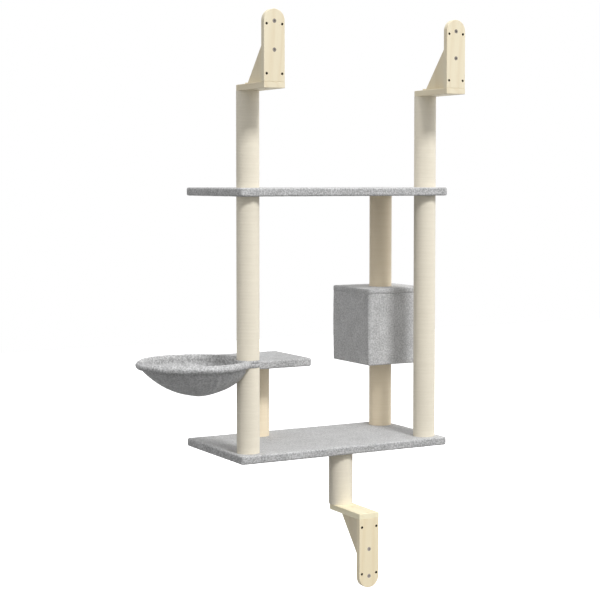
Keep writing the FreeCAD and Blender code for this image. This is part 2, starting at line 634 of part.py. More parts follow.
skin_form = put(slab("box_skin_form", "sizes.box_side / 2", "sizes.box_side / 2", "sizes.box_height",
                     "sizes.box_corner", "sizes.plush_edge"), box_x, box_y, "levels.box_underside")
core_form = block("box_core_form", half_core, half_core, core_height, box_x, box_y, core_base)
skin_bore = cylinder("box_skin_bore", "levels.bore_radius", "sizes.box_height + 2 * sizes.overcut",
                     box_x, box_y, "levels.box_underside - sizes.overcut")
way_in = cylinder("box_way_in", "sizes.entrance_diameter / 2", "2 * sizes.box_panel", box_x,
                  box_y + " - sizes.box_side / 2 + 1.5 * sizes.box_panel", middle_height, INTO_ROOM)
skin = cut("box_skin_cut", skin_form, fuse("box_skin_tools", core_form, skin_bore, way_in))
lining_y = box_y + " - (%s) + sizes.box_panel" % half_core
lining_tube = cut("entrance_lining_cut",
                  cylinder("entrance_lining_outside", panel_hole + " - sizes.snug_clearance",
                           "sizes.box_panel", box_x, lining_y, middle_height, INTO_ROOM),
                  cylinder("entrance_lining_inside", "sizes.entrance_diameter / 2",
                           "sizes.box_panel + 2 * sizes.overcut", box_x,
                           lining_y + " + sizes.overcut", middle_height, INTO_ROOM))
keep(fuse("box_cover_fuse", skin, lining_tube), "box_cover")


# ------------------------------------------------------------------ hammock
GORES = 24
ROLL_BULGE = 0.414
BOWL_ROWS = (0, 0.12, 0.3, 0.52, 0.76, 0.93, 1)


def gored(name, rings):
    """Many-sided solid through level rings, each given as radius, x, y and z."""
    sections = []
    for index, (radius, x, y, z) in enumerate(rings):
        ring = doc.addObject("Part::RegularPolygon", "%s_ring_%d" % (name, index))
        ring.Polygon = GORES
        ring.setExpression("Circumradius", radius)
        sections.append(put(ring, x, y, z))
    loft = doc.addObject("Part::Loft", name)
    loft.Sections = sections
    loft.Solid = True
    loft.Ruled = True
    return loft


def roll(name, radius):
    """Eight-sided roll round the ring: an outer gored form less an inner one."""
    forms = []
    for side in ("+", "-"):
        rings = []
        for up, out in ((-1, ROLL_BULGE), (-ROLL_BULGE, 1), (ROLL_BULGE, 1), (1, ROLL_BULGE)):
            rings.append(("sizes.ring_radius %s %s * (%s)" % (side, out, radius), "levels.ring_x",
                          "levels.ring_y", "levels.ring_level + %s * (%s)" % (up, radius)))
        forms.append(gored(name + ("_outside" if side == "+" else "_inside"), rings))
    return cut(name, *forms)


def bowl_form(name, cloth):
    """Round bowl below the ring, cloth thinner all round, whose middle drifts to the post."""
    rings = []
    for row in BOWL_ROWS:
        rise = "((1 - %s) * sizes.bowl_depth)" % row
        radius = "sqrt(2 * levels.bowl_curve * %s - %s ^ 2) - %s" % (rise, rise, cloth)
        if row == 1:
            radius = "sizes.ring_wire / 2"
        drift = "(sizes.bowl_drift * %s ^ 1.5)" % row
        rings.append((radius, "levels.ring_x - %s * cos(sizes.ring_turn)" % drift,
                      "levels.ring_y + %s * sin(sizes.ring_turn)" % drift,
                      "levels.ring_level - %s * (sizes.bowl_depth - %s)" % (row, cloth)))
    return gored(name, rings)


hub_base = "levels.hub_underside + sizes.hub_clearance"
hub_height = "sizes.hub_thickness - 2 * sizes.hub_clearance"
hub_core_base = "levels.ring_level - sizes.hub_core_height / 2"
disc_height = "(sizes.hub_core_height - sizes.ring_wire) / 2"
disc_radius = "sizes.hub_diameter / 2 - sizes.plush_thickness"
hub_bore = cylinder("hub_bore", "levels.snug_bore_radius", "3 * sizes.hub_thickness", *left,
                    "levels.hub_underside - sizes.hub_thickness")
tab = cylinder("hub_tab", disc_radius, "sizes.ring_wire", *left, "levels.ring_level - sizes.ring_wire / 2")
hub_core = cylinder("hub_core_form", disc_radius, "sizes.hub_core_height", *left, hub_core_base)
hub_outside = cylinder("hub_outside", "sizes.hub_diameter / 2", hub_height, *left, hub_base)
discs = []
for end, height in (("low", hub_core_base), ("high", "levels.ring_level + sizes.ring_wire / 2")):
    disc = cylinder("hub_disc_form_" + end, disc_radius, disc_height, *left, height)
    discs.append(cut("hub_disc_" + end, disc, hub_bore))
group("hub_discs", discs)

wire_form = roll("ring_wire_form", "sizes.ring_wire / 2")
roll_form = roll("rim_roll_form", "sizes.rim_diameter / 2")
keep(cut("hammock_ring_cut", fuse("ring_weldment", wire_form, tab), hub_bore), "hammock_ring")
hub_tools = fuse("hub_cover_tools", hub_core, wire_form, hub_bore)
keep(cut("hub_cover_cut", hub_outside, hub_tools), "hub_cover")
rim_roll = cut("rim_roll_cut", roll_form, wire_form)
hub_reach = cylinder("rim_hub_reach", "sizes.hub_diameter / 2", "3 * sizes.hub_thickness", *left,
                     "levels.hub_underside - sizes.hub_thickness")
keep(cut("rim_roll_ends", rim_roll, hub_reach), "hammock_rim")

# The bowl's cloth hangs from the roll and goes round the post that stands inside the ring.
outer_bowl = bowl_form("bowl_outside", "0")
inner_bowl = bowl_form("bowl_inside", "sizes.bowl_cloth")
pocket_in = "levels.wall_post_radius + sizes.bowl_clearance"
pocket_out = pocket_in + " + sizes.bowl_cloth"
pocket_base = "levels.ring_level - sizes.bowl_depth"
pocket_height = "sizes.bowl_depth + sizes.hub_thickness"
pocket_hole = cylinder("bowl_pocket_hole", pocket_in, pocket_height, *left, pocket_base)
pocket_wall = cut("bowl_pocket_tube",
                  cylinder("bowl_pocket_outside", pocket_out, pocket_height, *left, pocket_base), pocket_hole)
hung = doc.addObject("Part::Common", "bowl_pocket_wall")
hung.Base = outer_bowl
hung.Tool = pocket_wall
shell = cut("bowl_shell", outer_bowl, inner_bowl)
open_shell = cut("bowl_shell_open", shell,
                 cylinder("bowl_pocket_clear", pocket_in, pocket_height, *left, pocket_base))
cloth = fuse("bowl_cloth", open_shell, hung)
keep(cut("bowl_cloth_seated", cloth, fuse("bowl_seat_tools", roll_form, hub_reach)), "hammock_bowl")

# ------------------------------------------------------------------ test and write
doc.recompute()
faults = []
for thing in doc.Objects:
    if "Invalid" in thing.State or "Error" in thing.State:
        faults.append("%s: %s" % (thing.Name, thing.State))
for thing in nodes:
    if thing.Shape.isNull() or not thing.Shape.isValid() or not thing.Shape.Solids:
        faults.append("%s: shape is null, not valid or has no solid" % thing.Label)
if faults:
    raise RuntimeError("; ".join(faults))

os.makedirs("parts", exist_ok=True)
for thing in nodes:
    thing.Shape.exportStep("parts/%s.step" % thing.Label)
print("%d nodes, %d solids" % (len(nodes), sum(len(thing.Shape.Solids) for thing in nodes)))
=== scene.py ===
# %% [markdown]
# # Wall mounted cat tree
# Two plush-covered shelves stand between rope-wound posts that hang on a wall by three pine
# brackets. A small step shelf, a box and a round hammock fill the space between the shelves.
# The rigid solids come from the frame and keep their place. This notebook gives them their
# finishes and replaces the soft solids, the wound rope and the plush, by modelled ones.

# %% Open the frame
import bpy
import bmesh
import json
import math
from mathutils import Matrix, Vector, noise
from mathutils.geometry import interpolate_bezier


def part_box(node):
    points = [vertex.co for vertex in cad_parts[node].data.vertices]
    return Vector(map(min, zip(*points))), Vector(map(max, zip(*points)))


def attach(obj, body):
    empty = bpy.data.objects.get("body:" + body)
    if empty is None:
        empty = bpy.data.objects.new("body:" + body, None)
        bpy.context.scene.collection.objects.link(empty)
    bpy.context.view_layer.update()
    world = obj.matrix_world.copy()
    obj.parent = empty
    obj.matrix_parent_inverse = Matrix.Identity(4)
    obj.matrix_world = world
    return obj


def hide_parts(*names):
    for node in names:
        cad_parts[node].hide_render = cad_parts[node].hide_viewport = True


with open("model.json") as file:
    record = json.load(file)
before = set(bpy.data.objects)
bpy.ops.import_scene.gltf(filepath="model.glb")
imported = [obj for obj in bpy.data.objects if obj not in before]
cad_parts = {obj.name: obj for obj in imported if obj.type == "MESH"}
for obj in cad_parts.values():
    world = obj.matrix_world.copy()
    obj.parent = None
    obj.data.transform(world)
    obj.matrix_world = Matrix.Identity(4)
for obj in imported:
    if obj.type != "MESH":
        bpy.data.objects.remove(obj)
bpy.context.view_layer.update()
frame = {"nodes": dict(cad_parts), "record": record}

# %% [markdown]
# ## The camera
# The photograph is taken from the wall side with a long lens, and its upright edges stay
# upright. A little downward tilt with a small lens shift gives that view.

# %% Camera
TILT = math.radians(2.8994)
TURN = math.radians(29.1604)
camera_data = bpy.data.cameras.new("camera")
camera_data.lens = 91.04
camera_data.sensor_width = 36
camera_data.shift_y = -0.07
camera = bpy.data.objects.new("camera", camera_data)
camera.location = (2.0353, 3.2829, 0.9471)
sight = Vector((-math.sin(TURN) * math.cos(TILT), -math.cos(TURN) * math.cos(TILT), -math.sin(TILT)))
camera.rotation_euler = sight.to_track_quat("-Z", "Y").to_euler()
bpy.context.collection.objects.link(camera)
bpy.context.scene.camera = camera
bpy.context.scene.view_settings.view_transform = "Standard"
print("camera looks along", [round(part, 3) for part in sight])

# %% [markdown]
# ## Light and floor
# In the photograph one soft lamp high on the wall side throws the shadow of a post on the
# box, a wide one from the right brightens that side of every post, and one overhead lights
# the tops of the shelves. The rest is even light from all round. The floor lies below the
# tree, which hangs above it. The camera sees it pale, but it gives little light back to the
# undersides, because they are dark in the photograph.

# %% Lamps
TREE_MIDDLE = Vector((0.05, -0.25, 0.6))


def soft_lamp(name, towards, distance, size, level):
    """Square lamp that lights a facing surface at a level, where 1 shows a colour as written."""
    lamp = bpy.data.lights.new(name, "AREA")
    lamp.size = size
    lamp.energy = level * math.pi ** 2 * distance ** 2
    holder = bpy.data.objects.new(name, lamp)
    holder.location = TREE_MIDDLE + towards.normalized() * distance
    holder.rotation_euler = (-towards).to_track_quat("-Z", "Y").to_euler()
    bpy.context.collection.objects.link(holder)
    print("lamp", name, "at", [round(part, 2) for part in holder.location])


soft_lamp("high_lamp", Vector((-0.05, 1, 1)), distance=10, size=1.8, level=0.66)
soft_lamp("right_lamp", Vector((-1, 0.25, 0.35)), distance=6, size=3.6, level=0.21)
soft_lamp("ceiling_lamp", Vector((0, 0, 1)), distance=6, size=4.5, level=0.36)

# %% World and floor
def add(tree, kind, settings=None, **sockets):
    """Adds a node: settings are its own options, and each other value goes to that input."""
    made_node = tree.nodes.new("ShaderNode" + kind)
    for key, value in (settings or {}).items():
        setattr(made_node, key, value)
    for key, value in sockets.items():
        place = made_node.inputs[key.replace("_", " ")]
        if isinstance(value, bpy.types.NodeSocket):
            tree.links.new(value, place)
        else:
            place.default_value = value
    return made_node


def combine(tree, operation, first, second):
    """Maths on two values, each a socket or a number."""
    made_node = add(tree, "Math", {"operation": operation})
    for place, value in zip(made_node.inputs, (first, second)):
        if isinstance(value, bpy.types.NodeSocket):
            tree.links.new(value, place)
        else:
            place.default_value = value
    return made_node.outputs["Value"]


def seen_directly(tree):
    """1 for rays from the camera, in a mirror or through glass, else 0."""
    path = add(tree, "LightPath")
    mirrored = combine(tree, "MAXIMUM", path.outputs["Is Camera Ray"], path.outputs["Is Glossy Ray"])
    return combine(tree, "MAXIMUM", mirrored, path.outputs["Is Transmission Ray"])


EVEN_LIGHT = 0.62
FLOOR_LEVEL = -0.5
FLOOR_HALF = 9
FLOOR_TONE = 0.85
FLOOR_GLOW = 0.7
FLOOR_BOUNCE = 0.19
world = bpy.data.worlds.new("pale_room")
world.use_nodes = True
bpy.context.scene.world = world
room = world.node_tree
strength = combine(room, "MAXIMUM", seen_directly(room), EVEN_LIGHT)
room.links.new(strength, room.nodes["Background"].inputs["Strength"])
room.nodes["Background"].inputs["Color"].default_value = (1, 1, 1, 1)

floor_finish = bpy.data.materials.new("pale_floor")
floor_finish.use_nodes = True
ground = floor_finish.node_tree
matt = ground.nodes["Principled BSDF"]
matt.inputs["Base Color"].default_value = (FLOOR_TONE, FLOOR_TONE, FLOOR_TONE, 1)
matt.inputs["Roughness"].default_value = 1
dim = add(ground, "BsdfDiffuse", Color=(FLOOR_BOUNCE, FLOOR_BOUNCE, FLOOR_BOUNCE, 1))
glow = add(ground, "Emission", Color=(1, 1, 1, 1), Strength=FLOOR_GLOW)
lit_floor = add(ground, "AddShader")
ground.links.new(matt.outputs[0], lit_floor.inputs[0])
ground.links.new(glow.outputs[0], lit_floor.inputs[1])
either = add(ground, "MixShader", Fac=seen_directly(ground))
ground.links.new(dim.outputs[0], either.inputs[1])
ground.links.new(lit_floor.outputs[0], either.inputs[2])
ground.links.new(either.outputs[0], ground.nodes["Material Output"].inputs["Surface"])

floor_bm = bmesh.new()
bmesh.ops.create_grid(floor_bm, x_segments=1, y_segments=1, size=FLOOR_HALF)
bmesh.ops.translate(floor_bm, vec=(0, 0, FLOOR_LEVEL), verts=floor_bm.verts)
floor_mesh = bpy.data.meshes.new("floor")
floor_bm.to_mesh(floor_mesh)
floor_bm.free()
floor_mesh.materials.append(floor_finish)
floor = bpy.data.objects.new("floor", floor_mesh)
bpy.context.collection.objects.link(floor)
print("floor at", FLOOR_LEVEL, "m")

# %% [markdown]
# ## Finishes shared by several pieces
# Plush, timber and rope each vary in ways that a single colour can't show. What more than
# one finish uses is built once as a node group with named inputs: the mottled pile of the
# plush, and the grain of wood. A group gives out a colour and a height, and the shader
# stays in the material.

# %% Node group helper
def shader_group(name, takes, gives):
    """Empty node group with its inputs (name, kind, value) and outputs (name, kind)."""
    tree = bpy.data.node_groups.new(name, "ShaderNodeTree")
    for label, kind, value in takes:
        socket = tree.interface.new_socket(label, in_out="INPUT", socket_type="NodeSocket" + kind)
        if value is not None:
            socket.default_value = value
    for label, kind in gives:
        tree.interface.new_socket(label, in_out="OUTPUT", socket_type="NodeSocket" + kind)
    return tree, tree.nodes.new("NodeGroupInput").outputs, tree.nodes.new("NodeGroupOutput").inputs


def blend_colours(tree, factor, first, second):
    """Mixes two colours, each a socket or a value."""
    mixer = add(tree, "Mix", {"data_type": "RGBA"})
    # a Mix node has one set of sockets for each data type: 6, 7 and output 2 are the colours
    for index, value in ((0, factor), (6, first), (7, second)):
        if isinstance(value, bpy.types.NodeSocket):
            tree.links.new(value, mixer.inputs[index])
        else:
            mixer.inputs[index].default_value = value
    return mixer.outputs[2]


def spread(tree, value, low, high):
    """Stretches the middle of a noise so that low becomes 0 and high becomes 1."""
    stretched = add(tree, "MapRange", {"clamp": True})
    tree.links.new(value, stretched.inputs["Value"])
    stretched.inputs["From Min"].default_value = low
    stretched.inputs["From Max"].default_value = high
    return stretched.outputs["Result"]


def weighted(tree, *parts):
    """Sum of values, each times its weight."""
    total = None
    for value, weight in parts:
        share = value if weight == 1 else combine(tree, "MULTIPLY", value, weight)
        total = share if total is None else combine(tree, "ADD", total, share)
    return total


print("helpers for node groups ready")

# %% Mottled pile group
# The cloth's backing shows between the tufts where an edge or a roll opens the pile, and
# there the tufts shade the gaps, so the dark flecks are darker: partly the backing's own
# colour, partly painted shade. The piece says where, by a point attribute.
pile, pile_in, pile_out = shader_group(
    "MottledPile",
    [("Vector", "Vector", None), ("Light", "Color", (0.6, 0.6, 0.6, 1)),
     ("Dark", "Color", (0.4, 0.4, 0.4, 1)), ("Opened", "Float", 0.0),
     ("Tufts per metre", "Float", 220.0), ("Patches per metre", "Float", 24.0)],
    [("Color", "Color"), ("Height", "Float")])
tufts = add(pile, "TexNoise", Vector=pile_in["Vector"], Scale=pile_in["Tufts per metre"], Detail=3.0,
            Roughness=0.7)
patches = add(pile, "TexNoise", Vector=pile_in["Vector"], Scale=pile_in["Patches per metre"], Detail=3.0,
              Roughness=0.55, Distortion=0.6)
tuft_tone = spread(pile, tufts.outputs["Fac"], 0.4, 0.6)
patch_tone = spread(pile, patches.outputs["Fac"], 0.35, 0.65)
tone = weighted(pile, (tuft_tone, 0.75), (patch_tone, 0.25))
# partly painted shade: where the pile opens, the dark flecks go towards near black
painted_gap_shade = combine(pile, "MULTIPLY", pile_in["Opened"], 0.45)
dark_with_gap_shade = blend_colours(pile, painted_gap_shade, pile_in["Dark"], (0.1, 0.1, 0.1, 1))
pile.links.new(blend_colours(pile, tone, dark_with_gap_shade, pile_in["Light"]), pile_out["Color"])
strands = add(pile, "TexNoise", Vector=pile_in["Vector"], Scale=1500.0, Detail=1.0)
pile.links.new(weighted(pile, (tufts.outputs["Fac"], 1), (strands.outputs["Fac"], 0.3)), pile_out["Height"])
print("group made:", pile.name)

# %% Timber grain group
# The grain runs along the Z of the vector that comes in: rings are drawn across it, and
# fine fibres are a noise stretched along it.
grain, grain_in, grain_out = shader_group(
    "TimberGrain",
    [("Vector", "Vector", None), ("Light", "Color", (0.8, 0.7, 0.5, 1)),
     ("Dark", "Color", (0.6, 0.45, 0.28, 1)), ("Rings per metre", "Float", 18.0)],
    [("Color", "Color"), ("Height", "Float"), ("Roughness", "Float")])
drawn_out = add(grain, "Mapping", Vector=grain_in["Vector"], Scale=(1, 1, 0.09))
rings = add(grain, "TexWave", {"bands_direction": "DIAGONAL"}, Vector=drawn_out.outputs["Vector"],
            Scale=grain_in["Rings per metre"], Distortion=5.0, Detail=2.5, Detail_Scale=1.2,
            Detail_Roughness=0.6)
fibre_stretch = add(grain, "Mapping", Vector=grain_in["Vector"], Scale=(1, 1, 0.03))
fibres = add(grain, "TexNoise", Vector=fibre_stretch.outputs["Vector"], Scale=900.0, Detail=2.0,
             Roughness=0.6)
boards_tone = add(grain, "TexNoise", Vector=drawn_out.outputs["Vector"], Scale=22.0, Detail=1.0)
ring_tone = combine(grain, "POWER", rings.outputs["Fac"], 2.2)
streaks = spread(grain, fibres.outputs["Fac"], 0.35, 0.75)
bands = spread(grain, boards_tone.outputs["Fac"], 0.3, 0.7)
shade = weighted(grain, (ring_tone, 0.42), (streaks, 0.3), (bands, 0.22))
grain.links.new(blend_colours(grain, shade, grain_in["Light"], grain_in["Dark"]), grain_out["Color"])
grain.links.new(weighted(grain, (fibres.outputs["Fac"], 1), (ring_tone, 0.4)), grain_out["Height"])
grain.links.new(weighted(grain, (fibres.outputs["Fac"], 0.2), (0.45, 1)), grain_out["Roughness"])
print("group made:", grain.name)

# %% Plush, the same cloth on shelves, box and hammock
def material(name, **constants):
    """New material; constants go straight to the shader's own sockets."""
    finish = bpy.data.materials.new(name)
    finish.use_nodes = True
    shader = finish.node_tree.nodes["Principled BSDF"]
    for key, value in constants.items():
        shader.inputs[key.replace("_", " ")].default_value = value
    return finish, finish.node_tree, shader


def relief(tree, shader, height, depth):
    """Bump from a height, as deep as this in metres."""
    bump = add(tree, "Bump", Strength=1.0, Distance=depth, Height=height)
    tree.links.new(bump.outputs["Normal"], shader.inputs["Normal"])


PLUSH_LIGHT = (0.67, 0.671, 0.673, 1)


def plush(name, dark):
    """Short plush: mottled pile with a faint sheen at grazing angles."""
    finish, tree, shader = material(name, Roughness=0.95, Sheen_Weight=0.12, Sheen_Roughness=0.5)
    place = add(tree, "TexCoord").outputs["Object"]
    opened = add(tree, "Attribute", {"attribute_name": "opened"}).outputs["Fac"]
    fur = add(tree, "Group", {"node_tree": pile}, Vector=place, Light=PLUSH_LIGHT, Dark=dark, Opened=opened)
    tree.links.new(fur.outputs["Color"], shader.inputs["Base Color"])
    relief(tree, shader, fur.outputs["Height"], depth=0.0022)
    return finish


shelf_plush = plush("shelf_plush", (0.40, 0.401, 0.404, 1))
hammock_plush = plush("hammock_plush", (0.39, 0.391, 0.394, 1))
print("plush finishes made")

# %% [markdown]
# The brackets are planed pine. The lower one gets lighter and yellower copies of the pine than
# the two upper ones, painted light for the stronger light that falls on it, and the open wall
# holes get painted shade, nearly black. Each plate therefore has a finish of its own, with a
# mask round its four holes. The record in the frame says where they are and how wide, and
# Object coordinates say where a spot of the wood is.

# %% Wood, and painted shade in the wall holes
SIDES = ("left", "right", "lower")
MM = 0.001
HOLE_MARGIN = 0.4 * MM
# painted shade: the colour in the wall holes and in a thin ring round them
HOLE_PAINTED_SHADE = (0.07, 0.055, 0.025, 1)
wall_holes = {mount["name"]: mount for mount in frame["record"]["mounts"]}


def timber(name, tones, turn, rings=18.0):
    """Planed wood whose grain lies along the vector's Z after the turn."""
    light, dark = tones
    finish, tree, shader = material(name)
    place = add(tree, "Mapping", Vector=add(tree, "TexCoord").outputs["Object"], Rotation=turn)
    wood = add(tree, "Group", {"node_tree": grain}, Vector=place.outputs["Vector"], Light=light, Dark=dark,
               Rings_per_metre=rings)
    tree.links.new(wood.outputs["Color"], shader.inputs["Base Color"])
    tree.links.new(wood.outputs["Roughness"], shader.inputs["Roughness"])
    relief(tree, shader, wood.outputs["Height"], depth=0.0002)
    return finish


def paint_shade_in_holes(finish, holes):
    """Paints shade in and close round a plate's four wall holes: the wood there turns nearly black."""
    tree = finish.node_tree
    shader = tree.nodes["Principled BSDF"]
    wood = shader.inputs["Base Color"].links[0].from_socket
    place = add(tree, "SeparateXYZ", Vector=add(tree, "TexCoord").outputs["Object"])
    half_across = holes["dims"]["spacing_x_mm"] * MM / 2
    half_up = holes["dims"]["spacing_y_mm"] * MM / 2
    edge = holes["dims"]["hole_r_mm"] * MM + HOLE_MARGIN
    squares = []
    for axis, centre, half in (("X", holes["pos_m"][0], half_across), ("Z", holes["pos_m"][2], half_up)):
        side = combine(tree, "ABSOLUTE", combine(tree, "SUBTRACT", place.outputs[axis], centre), 0)
        off = combine(tree, "SUBTRACT", side, half)
        squares.append(combine(tree, "MULTIPLY", off, off))
    inside = combine(tree, "LESS_THAN", combine(tree, "ADD", *squares), edge ** 2)
    tree.links.new(blend_colours(tree, inside, wood, HOLE_PAINTED_SHADE), shader.inputs["Base Color"])
    return finish


print("wall holes known:", sorted(wall_holes))

# %% Pine, board and cardboard
# each timber: its light and its dark tone
PINE = ((0.785, 0.715, 0.54, 1), (0.70, 0.60, 0.42, 1))
# lighter copies of the pine for the lower plate and arm: painted light, for the stronger light on the lower
# bracket
PLATE_PINE_PAINTED_LIGHT = ((0.86, 0.765, 0.55, 1), (0.78, 0.655, 0.43, 1))
ARM_PINE_PAINTED_LIGHT = ((0.93, 0.86, 0.63, 1), (0.86, 0.77, 0.52, 1))
BOARD = ((0.45, 0.34, 0.2, 1), (0.33, 0.23, 0.13, 1))
GRAIN_UP = (0, 0, 0.5)
GRAIN_OUT = (math.pi / 2, 0, 0.2)
pine_upright = timber("pine_upright", PINE, GRAIN_UP)
pine_plates = {}
pine_arms = {}
for side in SIDES:
    # the lower bracket gets the lighter copies of the pine, which carry painted light
    plate_tones, arm_tones = (PLATE_PINE_PAINTED_LIGHT, ARM_PINE_PAINTED_LIGHT) if side == "lower" else (PINE, PINE)
    plate_wood = timber("pine_plate_" + side, plate_tones, GRAIN_UP)
    # each plate gets painted shade in its wall holes
    pine_plates[side] = paint_shade_in_holes(plate_wood, wall_holes[side + "_wall_holes"])
    pine_arms[side] = timber("pine_arm_" + side, arm_tones, GRAIN_OUT)
pressed_board = timber("pressed_board", BOARD, (0, math.pi / 2, 0), rings=90.0)

tube_paper, tree, shader = material("tube_paper", Roughness=0.85)
speckle = add(tree, "TexNoise", Vector=add(tree, "TexCoord").outputs["Object"], Scale=240.0, Detail=3.0)
tree.links.new(blend_colours(tree, speckle.outputs["Fac"], (0.32, 0.21, 0.12, 1), (0.42, 0.29, 0.17, 1)),
               shader.inputs["Base Color"])
relief(tree, shader, speckle.outputs["Fac"], depth=0.0002)
print("timber and paper finishes made")

# %% Zinc plated steel, and paint for heads on the timber
steel, tree, shader = material("zinc_steel", Metallic=1.0)
place = add(tree, "TexCoord").outputs["Object"]
clouds = add(tree, "TexNoise", Vector=place, Scale=160.0, Detail=4.0)
scratches = add(tree, "TexNoise", Vector=place, Scale=1400.0, Detail=2.0)
tree.links.new(blend_colours(tree, clouds.outputs["Fac"], (0.17, 0.155, 0.14, 1), (0.31, 0.285, 0.26, 1)),
               shader.inputs["Base Color"])
tree.links.new(weighted(tree, (clouds.outputs["Fac"], 0.25), (0.28, 1)), shader.inputs["Roughness"])
relief(tree, shader, scratches.outputs["Fac"], depth=0.00008)

painted, tree, shader = material("painted_heads", Roughness=0.6)
brushed = add(tree, "TexNoise", Vector=add(tree, "TexCoord").outputs["Object"], Scale=500.0, Detail=2.0)
# the heads take tones of the lower bracket's lighter pine, which carry painted light
tree.links.new(blend_colours(tree, brushed.outputs["Fac"], PLATE_PINE_PAINTED_LIGHT[1], ARM_PINE_PAINTED_LIGHT[0]),
               shader.inputs["Base Color"])
relief(tree, shader, brushed.outputs["Fac"], depth=0.00005)
print("steel and painted finishes made")

# %% [markdown]
# ## Finishes on the solids that stay
# The brackets, the boards, the tubes and the fasteners keep their solids. The grain of an
# arm runs out from the wall, and that of a plate or gusset runs up and down, so pine comes
# in two directions. The photograph shows no heads on the arms, so those there are painted
# like the timber.

# %% Give the solids their finishes
clothed = []


def clothe(node_names, finish):
    """Puts a finish in every material slot of these solids."""
    clothed.extend(node_names)
    for name in node_names:
        slots = frame["nodes"][name].material_slots
        for place in slots:
            place.material = finish
        if not slots:
            frame["nodes"][name].data.materials.append(finish)


for side in SIDES:
    clothe([side + "_wall_plate"], pine_plates[side])
    clothe([side + "_gusset"], pine_upright)
    clothe([side + "_bracket_arm"], pine_arms[side])
panels = ["box_floor", "box_roof", "box_left_wall", "box_right_wall", "box_wall_side", "box_entrance_wall"]
clothe(["base_board", "top_board", "step_board", "post_plugs", "hub_discs"] + panels, pressed_board)
clothe([name for name in frame["nodes"] if name.endswith("_post_core")], tube_paper)
clothe(["plate_screws", "shelf_bolts", "post_studs", "hammock_stud", "hammock_ring"], steel)
clothe(["arm_screws", "post_bolts"], painted)
print("solids given a finish:", len(clothed))

# %% [markdown]
# ## Making a piece
# Every new piece starts as a bmesh. One helper closes it: doubles are merged, faces are
# turned outwards, the piece is hung on the empty of the body that carries it, and the solid
# it replaces is hidden.

# %% Piece helpers
def extent(name):
    """Lowest corner, highest corner, middle and size of a solid."""
    low, high = (Vector(corner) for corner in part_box(name))
    return low, high, (low + high) / 2, high - low


def open_and_shade_pile(bm, how_far):
    """Writes on every point how far the pile opens there, from 0 to 1: its dark flecks get darker, partly
    backing and partly painted shade.
    """
    opened = bm.verts.layers.float.new("opened")
    for vert in bm.verts:
        vert[opened] = how_far(vert)


def finished(name, bm, finish, body, stands_for):
    """Turns a bmesh into a smooth piece that rides on a body in place of a solid."""
    bmesh.ops.remove_doubles(bm, verts=bm.verts, dist=2e-6)
    bmesh.ops.recalc_face_normals(bm, faces=bm.faces)
    mesh = bpy.data.meshes.new(name)
    bm.to_mesh(mesh)
    bm.free()
    mesh.shade_smooth()
    mesh.materials.append(finish)
    piece = bpy.data.objects.new(name, mesh)
    bpy.context.collection.objects.link(piece)
    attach(piece, body)
    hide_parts(stands_for)
    print("piece", name, "with", len(mesh.polygons), "faces")
    return piece


print("helpers for pieces ready")

# %% [markdown]
# ## Rope on the posts
# Each post section is a cardboard tube with one layer of thin cream rope wound close
# round it. A smooth cylinder would lose the fine ridges that catch the light, so the rope
# is a real winding: the outer half of its section is spun one turn with a rise, that turn
# is repeated up the post, and what sticks out past the ends is pressed flat, as the cut
# ends of the glued rope are.

# %% Rope finish
def rope(name, light, dark):
    """Twisted rope: strands run slantwise along the rope, in the winding's own UV map."""
    finish, tree, shader = material(name, Roughness=0.9, Sheen_Weight=0.25, Sheen_Roughness=0.4)
    along = add(tree, "UVMap", {"uv_map": "winding"}).outputs["UV"]
    slanted = add(tree, "Mapping", Vector=along, Rotation=(0, 0, math.radians(58)))
    twist = add(tree, "TexWave", Vector=slanted.outputs["Vector"], Scale=150.0, Distortion=1.5, Detail=1.0)
    # the tone changes slowly along the rope and quickly from one turn to the next
    per_turn = add(tree, "Mapping", Vector=along, Scale=(9, 230, 1))
    turns = add(tree, "TexNoise", Vector=per_turn.outputs["Vector"], Scale=1.0, Detail=2.0)
    fluff = add(tree, "TexNoise", Vector=add(tree, "TexCoord").outputs["Object"], Scale=900.0, Detail=2.0)
    shade = weighted(tree, (spread(tree, turns.outputs["Fac"], 0.3, 0.7), 0.5),
                     (spread(tree, fluff.outputs["Fac"], 0.3, 0.7), 0.5))
    tree.links.new(blend_colours(tree, shade, dark, light), shader.inputs["Base Color"])
    relief(tree, shader, combine(tree, "ADD", twist.outputs["Fac"], fluff.outputs["Fac"]), depth=0.00015)
    return finish


cream_rope = rope("cream_rope", (0.85, 0.79, 0.66, 1), (0.78, 0.72, 0.59, 1))
# a lighter, warmer copy of the cream rope: painted light, the warm light bounced onto the rear posts in the
# shade between the shelves
warm_rope = rope("warm_rope", (0.95, 0.83, 0.63, 1), (0.89, 0.76, 0.55, 1))
print("rope finishes made")

# %% Wind one post
ROPE_RISE = 0.0036
ROPE_HEIGHT = 0.0004
STEPS_ROUND = 36
SECTION_STEPS = 5


